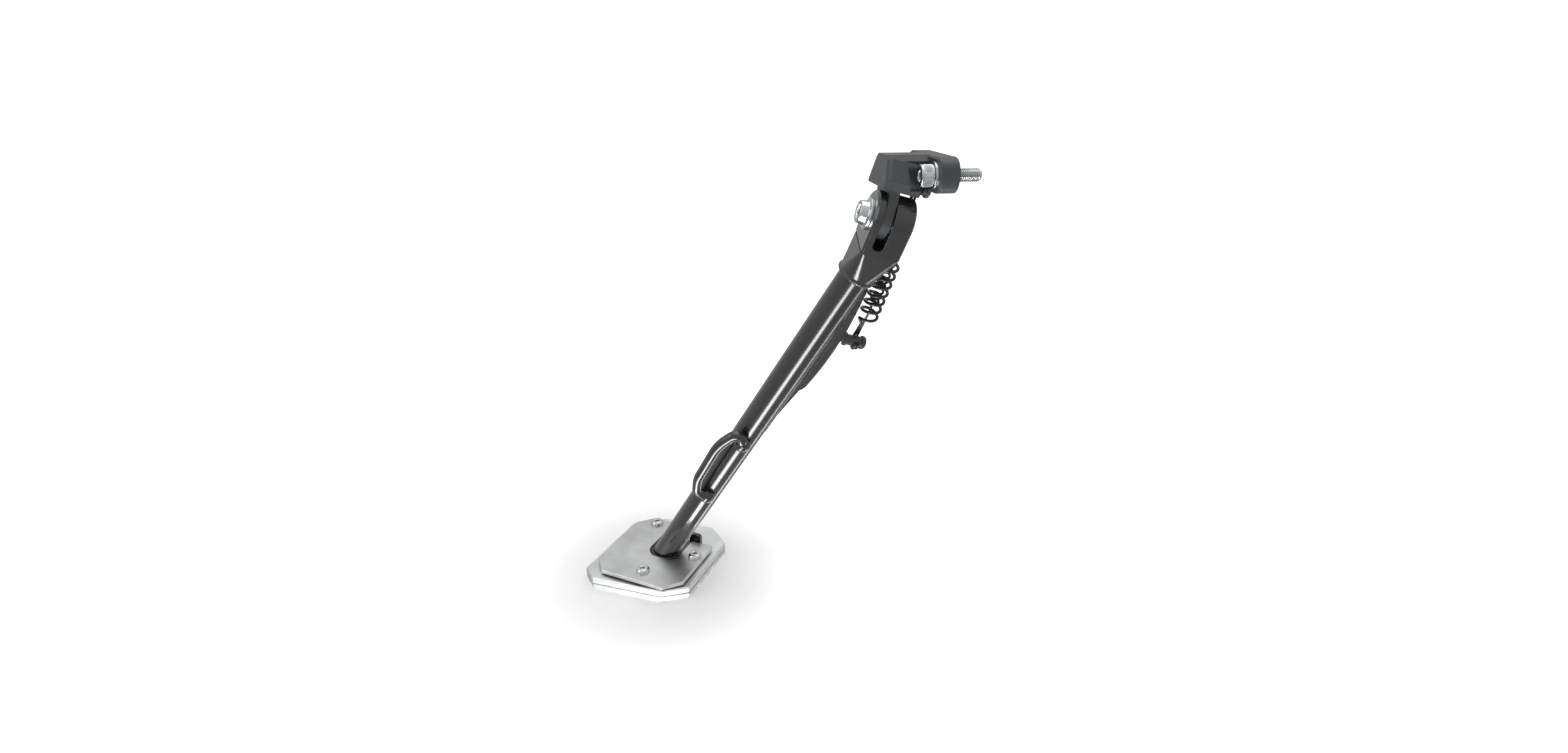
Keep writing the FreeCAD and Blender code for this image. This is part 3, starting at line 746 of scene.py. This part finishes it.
@dataclass
class MountingBracket:
    """The cast bracket with its two cap screws, washers and the fixed spring post."""

    bolt_spacing: float = 0.050
    plate: float = 0.012
    washer: float = 0.0016
    bolt_radius: float = 0.004
    head_radius: float = 0.0065
    head_height: float = 0.008
    stud: float = 0.016
    shank_radius: float = 0.0037
    post_radius: float = 0.004
    post_head: float = 0.005
    post_shoulder: float = 0.018
    post_end: float = 0.0208
    post_at: tuple[float, float] = (0.012038, 0.021911)

    def cap_screw(self, side: float) -> Shell:
        """A socket-head cap screw: thread, plain shank, knurled head and hexagon socket.

        Args:
            side: -1 for the rear screw, 1 for the front one.

        Returns:
            Its surface.
        """
        under = -self.plate - self.washer
        row = Axes(np.zeros(3), np.array([1.0, 0, 0]), np.array([0, 0, 1.0]))
        axes = row.facing((-1.0, 0, 0), (0, 0, 1.0), (0, side * self.bolt_spacing / 2, 0))
        r, low, high = self.bolt_radius, -self.stud, -under + self.head_height
        part = Turned(axes, around=192)
        part.plain(np.array([[0.0010, low], [r - 0.0012, low], [r - 0.0008, low + 0.0004]]))
        part.threaded(r, low + 0.0005, -0.0002, 0.00125)
        rim = self.head_radius
        neck = rounded_profile([(self.shank_radius, 0.0), (self.shank_radius, -under), (rim - 0.0004, -under),
                                (rim, -under + 0.0004)], [0.0002, 0.0003])
        part.plain(neck)
        part.knurled(rim, -under + 0.0006, high - 0.0011, 48, 0.00028)
        part.plain(rounded_profile([(rim, high - 0.0010), (rim, high), (0.0045, high)], [0.0009]))
        part.hexagon(0.0060, high, high - 0.0045, 0.0004)
        return part.shell()

    def post(self) -> Shell:
        """The fixed spring post: a round pin with a waist for the hooks and a broad head."""
        axes = LAYOUT.bracket.facing((1.0, 0, 0), (0, 0, 1.0), (0, self.post_at[0], self.post_at[1]))
        r, head = self.post_radius, self.post_head
        shoulder, end = self.post_shoulder, self.post_end
        profile = rounded_profile(
            [(0.0008, 0.0), (r, 0.0), (r, shoulder), (head, shoulder), (head, end), (0.0008, end)],
            [0.0002, 0.0003, 0.0004, 0.0012])
        return Turned(axes, around=64).plain(profile).shell()

    def build(self, shop: Paintshop) -> None:
        """Makes and fits the bracket's pieces.

        Args:
            shop: where the finishes come from.
        """
        shop.dress_nodes(["mounting_bracket"], BRACKET_PAINT)
        shop.dress_nodes(["bracket_washers"], ZINC)
        screws = make_piece("knurled_cap_screws", [self.cap_screw(-1.0), self.cap_screw(1.0)])
        shop.fit(screws, "bracket", ZINC, "bracket_bolts")
        shop.fit(make_piece("headed_spring_post", [self.post()]), "bracket", PHOSPHATE, "spring_post")


@dataclass
class Pivot:
    """The shoulder bolt, its bush and its thrust washers, and the fork they sit in."""

    ear_out: float = -0.016
    ear_in: float = 0.0095
    slot_in: float = -0.0036
    flange: float = 0.010
    head: float = 0.007
    shoulder: float = 0.006
    thread: float = 0.005

    def bolt(self) -> Shell:
        """The flanged shoulder bolt: thread end, shoulder, flange, domed head and hexagon socket."""
        axes = LAYOUT.fork.facing((-1.0, 0, 0), (0, 0, 1.0), (0, 0, 0))
        out, tip = -self.ear_out, -self.ear_in + 0.0005
        part = Turned(axes, around=96)
        part.plain(rounded_profile([(0.001, tip), (self.thread - 0.0006, tip), (self.thread, tip + 0.0006)], [0.0001]))
        part.threaded(self.thread, tip + 0.0008, -self.slot_in - 0.0002, 0.0015)
        part.plain(rounded_profile(
            [(self.thread, -self.slot_in), (self.shoulder, -self.slot_in), (self.shoulder, out), (self.flange, out),
             (self.flange, out + 0.002), (self.head + 0.0006, out + 0.0024), (self.head, out + 0.0075),
             (0.0056, out + 0.0075)],
            [0.0002, 0.0002, 0.0002, 0.0003, 0.0008, 0.0012, 0.0009]))
        part.hexagon(0.008, out + 0.0075, out + 0.0025, 0.0004)
        return part.shell()

    def build(self, shop: Paintshop) -> None:
        """Makes and fits the pivot's pieces.

        Args:
            shop: where the finishes come from.
        """
        shop.dress_nodes(["fork_head"], LEG_PAINT)
        shop.dress_nodes(["pivot_bush"], BRONZE)
        shop.dress_nodes(["thrust_washers"], THRUST)
        shop.fit(make_piece("flanged_pivot_bolt", [self.bolt()]), "leg", ZINC, "pivot_bolt")


@dataclass
class Leg:
    """The tube with its gusset, peg, heel loop and the welds between them."""

    tube_radius: float = 0.011
    fork_end: float = -0.043
    gusset_corners: tuple = ((0.0011, -1.0, 0.0019), (0.011, 1.0, 0.0018))
    gusset_run: tuple[float, float] = (-0.203, -0.055)
    peg_radius: float = 0.004
    peg_at: tuple[float, float] = (0.008, -0.1013)
    loop_welds: tuple = (((-0.0026, -0.012, -0.211), 0.0062), ((-0.0026, -0.012, -0.280), 0.0060))
    blob_puddles: int = 7
    blob_ripple: float = 0.045
    blob_swell: float = 0.04

    def neck_bead(self) -> Shell:
        """The ring of weld where the tube meets the fork: a circle just outside the tube."""
        path = self.ring(self.tube_radius + 0.0006, self.fork_end - 0.0006)
        out = LAYOUT.tube.place(path * np.array([1, 1, 0])) - LAYOUT.tube.origin
        return Bead(0.0019).laid(LAYOUT.tube.place(path), out, True)

    def ring(self, radius: float, height: float) -> Array:
        """A circle about the tube's axis, in the tube's frame.

        Args:
            radius: its radius.
            height: its place along the tube.

        Returns:
            Evenly spaced points, 0.2 mm apart.
        """
        angle = np.arange(int(2 * math.pi * radius / (0.2 * MM)))
        angle = angle / len(angle) * 2 * math.pi
        return np.stack([radius * np.cos(angle), radius * np.sin(angle), np.full_like(angle, height)], -1)

    def gusset_beads(self) -> list[Shell]:
        """The two straight beads along the corners between the gusset and the tube."""
        shells = []
        for y, side, radius in self.gusset_corners:
            x = math.sqrt(max(self.tube_radius ** 2 - y ** 2, 4e-6))
            z = np.arange(*self.gusset_run, 0.2 * MM)
            path = np.stack([np.full_like(z, x), np.full_like(z, y), z], -1)
            out = unit(np.array([x, y, 0.0])) + np.array([0.0, side, 0.0])
            flat = LAYOUT.tube.place(out) - LAYOUT.tube.origin
            shells.append(Bead(radius).laid(LAYOUT.tube.place(path), np.broadcast_to(flat, path.shape), False))
        return shells

    def loop_blob(self, centre: tuple[float, float, float], radius: float) -> Shell:
        """One painted-over weld round a loop's end: a ball that swells and dips in puddles from pole to pole.

        A point lies off the centre by the radius, times one plus the ripple, times one plus a slow
        unevenness round the ball; the ripple falls off steeply behind each puddle's front.

        Args:
            centre: the ball's centre in the tube's frame.
            radius: its mean radius.

        Returns:
            Its surface.
        """
        polar = np.linspace(math.pi - 0.02, 0.02, 140)[:, None]
        round_it = np.arange(96)[None] / 96 * 2 * math.pi
        phase = (polar / math.pi * self.blob_puddles - Bead.bow * np.cos(round_it)) % 1.0
        ripple = self.blob_ripple * (phase ** 0.6 * (1 - phase) ** 0.35 * 1.9 - 0.8) * np.sin(polar)
        reach = radius * (1 + ripple) * (1 + self.blob_swell * np.sin(2 * round_it + 0.8) * np.sin(polar))
        flat = reach * np.sin(polar)
        ball = np.stack([flat * np.cos(round_it), flat * np.sin(round_it), reach * np.cos(polar)], -1)
        return skin(LAYOUT.tube.place(np.array(centre) + ball))

    def peg(self) -> Shell:
        """The spring peg: a collar at its root, a round pin and a domed head."""
        axes = LAYOUT.fork.facing((1.0, 0, 0), (0, 0, 1.0), (0, self.peg_at[0], self.peg_at[1]))
        r = self.peg_radius
        profile = rounded_profile(
            [(0.0008, 0.0045), (0.005, 0.0045), (0.005, 0.0067), (r, 0.0067), (r, 0.0175), (0.0050, 0.0175),
             (0.0050, 0.0197), (0.0036, 0.0213), (0.0006, 0.0215)],
            [0.0002, 0.0005, 0.0004, 0.0003, 0.0004, 0.0012, 0.0020])
        return Turned(axes, around=64).plain(profile).shell()

    def build(self, shop: Paintshop) -> None:
        """Makes and fits the leg's pieces.

        Args:
            shop: where the finishes come from.
        """
        shop.dress_nodes(["leg_tube", "gusset_plate", "foot_loop"], LEG_PAINT)
        shop.fit(make_piece("neck_weld_bead", [self.neck_bead()]), "leg", LEG_PAINT, "head_weld")
        shop.fit(make_piece("gusset_weld_beads", self.gusset_beads()), "leg", LEG_PAINT, "gusset_weld")
        blobs = [self.loop_blob(*weld) for weld in self.loop_welds]
        shop.fit(make_piece("loop_weld_blobs", blobs), "leg", LEG_PAINT, "loop_welds")
        shop.fit(make_piece("domed_spring_peg", [self.peg()]), "leg", PHOSPHATE, "spring_peg")


@dataclass
class ReturnSpring:
    """One extension spring: a helix with a straight shank and an open eye at each end.

    In its own frame z runs from the peg up to the post. Each shank leaves the helix's outboard side
    and is bent in, so that the eyes of both springs lie side by side on the pins.
    """

    name: str
    node: str
    coil: float
    wire: float
    pitch: float
    turns: int
    eye: float
    crank: float
    x: float = 0.0153
    top: float = -0.0521
    pin: float = 0.004
    gap: float = 0.0003
    swing: float = 105.0
    reach: float = 0.025

    @property
    def ends(self) -> tuple[Array, Array]:
        """Post and peg in the spring's own plane, in the row frame.

        The post stands half the swing round from the peg's direction and beyond the pivot, so the
        spring is equally long at both ends of the leg's travel.
        """
        peg_y, peg_z = Leg().peg_at
        angle = math.atan2(peg_y, -peg_z) + math.radians(LAYOUT.deployed)
        far = math.hypot(peg_y, peg_z)
        back = angle - math.radians(self.swing / 2)
        post = np.array([self.x, -self.reach * math.sin(back), self.reach * math.cos(back)])
        peg = np.array([self.x, far * math.sin(angle), -far * math.cos(angle)])
        return LAYOUT.bracket.place(post), LAYOUT.bracket.place(peg)

    @property
    def axes(self) -> Axes:
        """The spring's frame: origin on the post, z away from the peg."""
        post, peg = self.ends
        return Axes(post, LAYOUT.axis, unit(post - peg))

    @property
    def length(self) -> float:
        """Distance from post to peg."""
        post, peg = self.ends
        return float(np.linalg.norm(post - peg))

    def _hook(self, start: float, pin: float) -> Array:
        """Shank and eye from the coil's end: a crank in, a tangent to the eye's circle, then 210 degrees of it.

        Args:
            start: height of the coil's end.
            pin: height of the pin.

        Returns:
            Points from the coil's end to the wire's own end.
        """
        r = self.pin + self.wire + self.gap
        way = 1.0 if start > pin else -1.0
        elbow = start - way * self.crank
        touch = math.acos(r / abs(elbow - pin))
        angle = touch + np.radians(np.linspace(0.0, 210.0, 160))
        eye = np.stack([np.full_like(angle, self.eye), r * np.sin(angle), pin + way * r * np.cos(angle)], -1)
        t = np.linspace(0.0, 1.0, 80, endpoint=False)[:, None]
        bend = np.array([self.eye, 0.0, elbow])
        return np.vstack([np.array([-self.coil, 0.0, start]) * (1 - t) + bend * t, bend * (1 - t) + eye[0] * t, eye])

    def line(self) -> tuple[Array, Array]:
        """The wire's centre line and a direction off it, both ends' elbows eased by a running mean.

        Returns:
            Points and normals in the spring's frame.
        """
        bottom = self.top - self.pitch * self.turns
        angle = np.linspace(0.0, 2 * math.pi * self.turns, 90 * self.turns)[1:-1]
        helix = np.stack([-self.coil * np.cos(angle), self.coil * np.sin(angle),
                          self.top - self.pitch * angle / (2 * math.pi)], -1)
        low, high = self._hook(bottom, -self.length), self._hook(self.top, 0.0)
        path = respaced(np.vstack([high[::-1], helix, low]), 0.25 * MM)
        along = arc_length(path)
        elbows = np.array([arc_length(high)[-1], along[-1] - arc_length(low)[-1]])
        width = 41
        kernel = np.hanning(width)
        kernel = kernel / kernel.sum()
        padded = np.pad(path, ((width // 2, width // 2), (0, 0)), mode="edge")
        eased = np.stack([np.convolve(padded[:, k], kernel, "valid") for k in range(3)], -1)
        weight = np.exp(-((along[:, None] - elbows[None]) / 0.009) ** 2).max(1)[:, None]
        path = path * (1 - weight) + eased * weight
        radial = path * np.array([1.0, 1.0, 0.0])
        hooked = (along < elbows[0]) | (along > elbows[1])
        normals = np.where(hooked[:, None], np.array([-1.0, 0.0, 0.0]), unit(radial + np.array([-1e-9, 0, 0])))
        return path, normals

    def build(self, shop: Paintshop) -> None:
        """Makes and fits the spring.

        Args:
            shop: where the finishes come from.
        """
        path, normals = self.line()
        along = arc_length(path)
        end = np.minimum(along, along[-1] - along) / self.wire
        radius = self.wire * np.sqrt(np.clip(1 - (1 - np.clip(end * 2, 0, 1)) ** 2 * 0.5, 0.05, 1))[:, None]
        axes = self.axes
        shell = carried(axes.place(path), axes.place(normals) - axes.origin, radius, 14, False)
        shop.fit(make_piece(self.name, [shell]), "springs", WIRE, self.node)


@dataclass
class Foot:
    """The stand's own foot, clamped between a stainless top plate and an aluminium base."""

    screws: tuple = ((-0.0235, 0.0366), (0.0041, -0.0313), (0.0365, 0.0047))
    screw_radius: float = 0.003
    head_radius: float = 0.006
    head_height: float = 0.0038
    clamp_z: float = 0.014
    tube_radius: float = 0.011

    def button_screw(self, u: float, v: float) -> Shell:
        """A button-head screw: thread, flat underside, domed head and hexagon socket.

        Args:
            u: its place along the plate.
            v: its place across the plate.

        Returns:
            Its surface.
        """
        top = LAYOUT.clamp_top
        axes = LAYOUT.foot.facing((0, 0, 1.0), (1.0, 0, 0), (u, v, 0))
        part = Turned(axes, around=96)
        part.plain(np.array([[0.0006, top - 0.014], [self.screw_radius - 0.0006, top - 0.014]]))
        part.threaded(self.screw_radius, top - 0.0135, top - 0.0035, 0.001)
        sweep = np.radians(np.linspace(0.0, 62.0, 12))
        dome = np.stack([0.0026 + (self.head_radius - 0.0026) * np.cos(sweep),
                         top + 0.0006 + (self.head_height - 0.0006) * np.sin(sweep) / math.sin(sweep[-1])], -1)
        part.plain(np.vstack([[[self.screw_radius, top - 0.003], [self.screw_radius, top],
                               [self.head_radius - 0.0002, top], [self.head_radius, top + 0.0003]], dome]))
        part.plain(np.array([[0.0030, top + self.head_height]]))
        part.hexagon(0.004, top + self.head_height, top + 0.0013, 0.0003)
        return part.shell()

    def foot_bead(self) -> Shell:
        """The weld where the tube stands on its foot: the ellipse in which the slanted tube cuts the foot's top."""
        tube, foot = LAYOUT.tube, LAYOUT.foot
        ring = Leg().ring(self.tube_radius + 0.0002, 0.0)
        start = tube.place(ring)
        level = foot.origin[2] + self.clamp_z + 0.0006
        path = start + ((level - start[:, 2:]) / tube.z[2]) * tube.z
        centre = tube.origin + tube.z * (level - tube.origin[2]) / tube.z[2]
        path = respaced(path, 0.2 * MM, True)
        return Bead(0.0012).laid(path, unit(path - centre) + np.array([0, 0, 0.8]), True)

    def build(self, shop: Paintshop) -> None:
        """Makes and fits the foot's pieces.

        Args:
            shop: where the finishes come from.
        """
        shop.dress_nodes(["foot_plate"], LEG_PAINT)
        shop.dress_nodes(["clamp_plate"], BRUSHED)
        shop.dress_nodes(["clamp_spacers"], SCREWS)
        shop.dress_nodes(["base_plate"], MILLED)
        heads = [self.button_screw(u, v) for u, v in self.screws]
        shop.fit(make_piece("button_head_screws", heads), "leg", SCREWS, "clamp_screws")
        shop.fit(make_piece("foot_weld_bead", [self.foot_bead()]), "leg", LEG_PAINT, "foot_weld")


# ---------------------------------------------------------------------------------------------
# Studio
# ---------------------------------------------------------------------------------------------

@dataclass
class Studio:
    """Pale floor with a painted glow and a painted shadow round the foot, soft lights and the camera."""

    eye: tuple[float, float, float] = (-0.1527, -0.4390, 0.0481)
    heading: float = 7.0
    pitch: float = 22.43
    lens: float = 16.07
    floor_radius: float = 6.0
    # Painted shadow halo: distances from the foot over which the floor's painted glow rises from none to full, leaving
    # the floor round the foot darker.
    painted_shadow_halo: tuple[float, float] = (0.06, 0.20)
    # Strength of the floor's painted glow away from the foot.
    painted_floor_glow: float = 0.6
    band_reach: float = 0.9

    def floor(self) -> None:
        """A pale disc under the foot, as wide as a room: a surface of radius and angle, flat at the ground.

        Away from the foot it glows with painted light, like a light table, rising from the halo's inner distance to
        its outer one, so the unglowing floor round the foot is a painted shadow. It lets the bands of light below it
        through, and it isn't seen in the stand's reflections.
        """
        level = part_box("base_plate")[0].z
        radius = np.array([self.floor_radius, self.floor_radius, 0.5, 0.01])[:, None]
        drop = np.array([-0.02, 0.0, 0.0, 0.0])[:, None]
        angle = np.arange(96)[None] / 96 * 2 * math.pi
        rings = np.stack([radius * np.cos(angle), radius * np.sin(angle), np.broadcast_to(level + drop, (4, 96))], -1)
        floor = make_piece("studio_floor", [skin(rings)])
        # Painted light: the paper glows more with distance from the foot, so the unglowing ring round the foot is a
        # painted shadow.
        material = bpy.data.materials.new("white_paper_painted_glow")
        material.use_nodes = True
        shader = material.node_tree.nodes["Principled BSDF"]
        place = add_node(material.node_tree, "ShaderNodeTexCoord")
        fibre = add_node(material.node_tree, "ShaderNodeTexNoise", {"Scale": 60.0, "Detail": 3.0},
                         {"Vector": place.outputs["Object"]})
        tone = add_node(material.node_tree, "ShaderNodeMapRange", {"To Min": 0.85, "To Max": 0.88},
                        {"Value": fibre.outputs["Fac"]})
        foot = LAYOUT.foot.origin
        away = add_node(material.node_tree, "ShaderNodeVectorMath", {"operation": "DISTANCE", 1: tuple(foot)},
                        {0: place.outputs["Object"]})
        painted_glow_ramp = add_node(material.node_tree, "ShaderNodeMapRange",
                       {"interpolation_type": "SMOOTHSTEP", "From Min": self.painted_shadow_halo[0], "From Max": self.painted_shadow_halo[1],
                        "To Min": 0.0, "To Max": self.painted_floor_glow}, {"Value": away.outputs["Value"]})
        material.node_tree.links.new(tone.outputs["Result"], shader.inputs["Base Color"])
        material.node_tree.links.new(painted_glow_ramp.outputs["Result"], shader.inputs["Emission Strength"])
        shader.inputs["Emission Color"].default_value = (1.0, 1.0, 1.0, 1.0)
        shader.inputs["Roughness"].default_value = 0.7
        floor.visible_glossy = False
        floor.visible_shadow = False
        floor.data.materials.append(material)

    def area(self, name: str, at: Array, towards: Array, size: tuple[float, float], watts: float,
             along: Array | None = None) -> None:
        """A soft rectangular light.

        Args:
            name: its name.
            at: where it stands.
            towards: the point it faces.
            size: its length and width.
            watts: its power.
            along: direction of its length, up when left out.
        """
        data = bpy.data.lights.new(name, "AREA")
        data.shape = "RECTANGLE"
        data.size, data.size_y = size
        data.energy = watts
        lamp = bpy.data.objects.new(name, data)
        bpy.context.scene.collection.objects.link(lamp)
        back = unit(np.array(at) - np.array(towards))
        guide = np.array([0, 0, 1.0]) if along is None else np.array(along)
        x = unit(guide - back * (guide @ back))
        basis = np.stack([x, np.cross(back, x), back], 1)
        lamp.matrix_world = Matrix.Translation(Vector(at)) @ Matrix(basis.tolist()).to_4x4()

    def mirror_point(self, along: float, turn: float) -> Array:
        """Where a light must stand to be mirrored to the eye by one line on the tube.

        The tube's normal is the eye's own direction made square to the tube and turned about it. The
        light lies along twice the normal's share of the eye's direction, less that direction.

        Args:
            along: place along the tube, from the pivot.
            turn: degrees from the side that faces the eye, to the right when positive.

        Returns:
            The light's place.
        """
        tube = LAYOUT.tube
        point = tube.place(np.array([0, 0, along]))
        to_eye = unit(np.array(self.eye) - point)
        facing = unit(to_eye - tube.z * (to_eye @ tube.z))
        normal = turned(turn, facing, np.cross(tube.z, facing))
        return point + unit(2 * normal * (normal @ to_eye) - to_eye) * self.band_reach

    def band(self, name: str, turn: float, width: float, watts: float) -> None:
        """A long light that draws one highlight down the whole tube.

        Args:
            name: its name.
            turn: where the highlight lies, in degrees from the side that faces the eye.
            width: its width.
            watts: its power.
        """
        high, low = self.mirror_point(-0.05, turn), self.mirror_point(-0.36, turn)
        run = high - low
        size = (float(np.linalg.norm(run)) * 1.2, width)
        self.area(name, (high + low) / 2, LAYOUT.tube.place(np.array([0, 0, -0.21])), size, watts, unit(run))

    def lights(self) -> None:
        """Two long bands that draw the tube's highlights, a big soft box overhead and a weak fill."""
        self.band("tube_band", 12.0, 0.28, 8.5)
        self.band("edge_band", 52.0, 0.14, 1.4)
        middle = LAYOUT.tube.place(np.array([0, 0, -0.21]))
        self.area("overhead_box", np.array([0.1, 0.3, 1.4]), middle, (1.6, 1.4), 9.0)
        self.area("left_box", np.array([-1.5, -0.3, 0.6]), middle, (1.0, 0.8), 4.0)

    def world(self) -> None:
        """Even white surroundings, a little darker towards the ground, with plain white behind the stand."""
        world = bpy.data.worlds.new("white_room")
        bpy.context.scene.world = world
        world.use_nodes = True
        tree = world.node_tree
        tree.nodes.clear()
        place = add_node(tree, "ShaderNodeTexCoord")
        parts = add_node(tree, "ShaderNodeSeparateXYZ", None, {"Vector": place.outputs["Generated"]})
        glow = add_node(tree, "ShaderNodeMapRange",
                        {"From Min": -0.8, "From Max": 0.9, "To Min": 0.36, "To Max": 0.80},
                        {"Value": parts.outputs["Z"]})
        room = add_node(tree, "ShaderNodeBackground", {"Color": (1.0, 1.0, 1.0, 1.0)},
                        {"Strength": glow.outputs["Result"]})
        paper = add_node(tree, "ShaderNodeBackground", {"Color": (1.0, 1.0, 1.0, 1.0), "Strength": 1.1})
        ray = add_node(tree, "ShaderNodeLightPath")
        both = add_node(tree, "ShaderNodeMixShader", None,
                        {0: ray.outputs["Is Camera Ray"], 1: room.outputs["Background"],
                         2: paper.outputs["Background"]})
        add_node(tree, "ShaderNodeOutputWorld", None, {"Surface": both.outputs["Shader"]})

    def camera(self) -> None:
        """The camera, looking forward and down at the stand."""
        data = bpy.data.cameras.new("camera")
        data.lens, data.sensor_width = self.lens, 36.0
        data.clip_start, data.clip_end = 0.01, 50.0
        camera = bpy.data.objects.new("camera", data)
        bpy.context.scene.collection.objects.link(camera)
        a, p = math.radians(self.heading), math.radians(self.pitch)
        forward = Vector((math.sin(a) * math.cos(p), math.cos(a) * math.cos(p), -math.sin(p)))
        camera.rotation_mode = "QUATERNION"
        camera.rotation_quaternion = forward.to_track_quat("-Z", "Y")
        camera.location = self.eye
        bpy.context.scene.camera = camera

    def build(self) -> None:
        """Sets the whole studio."""
        self.floor()
        self.lights()
        self.world()
        self.camera()
        bpy.context.scene.view_settings.view_transform = "Standard"


def main() -> None:
    """Builds every sub-assembly and the studio."""
    logging.basicConfig(level=logging.INFO, format="%(name)s: %(message)s")
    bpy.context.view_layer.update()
    shop = Paintshop()
    Pivot().build(shop)
    MountingBracket().build(shop)
    Leg().build(shop)
    ReturnSpring("outer_return_spring", "return_spring", coil=0.0064, wire=0.00115, pitch=0.0066, turns=7,
                 eye=-0.0024, crank=0.0046).build(shop)
    ReturnSpring("inner_return_spring", "inner_spring", coil=0.0032, wire=0.0009, pitch=0.0042, turns=8,
                 eye=-0.0001, crank=0.0026).build(shop)
    Foot().build(shop)
    Studio().build()


if __name__ == "__main__":
    main()
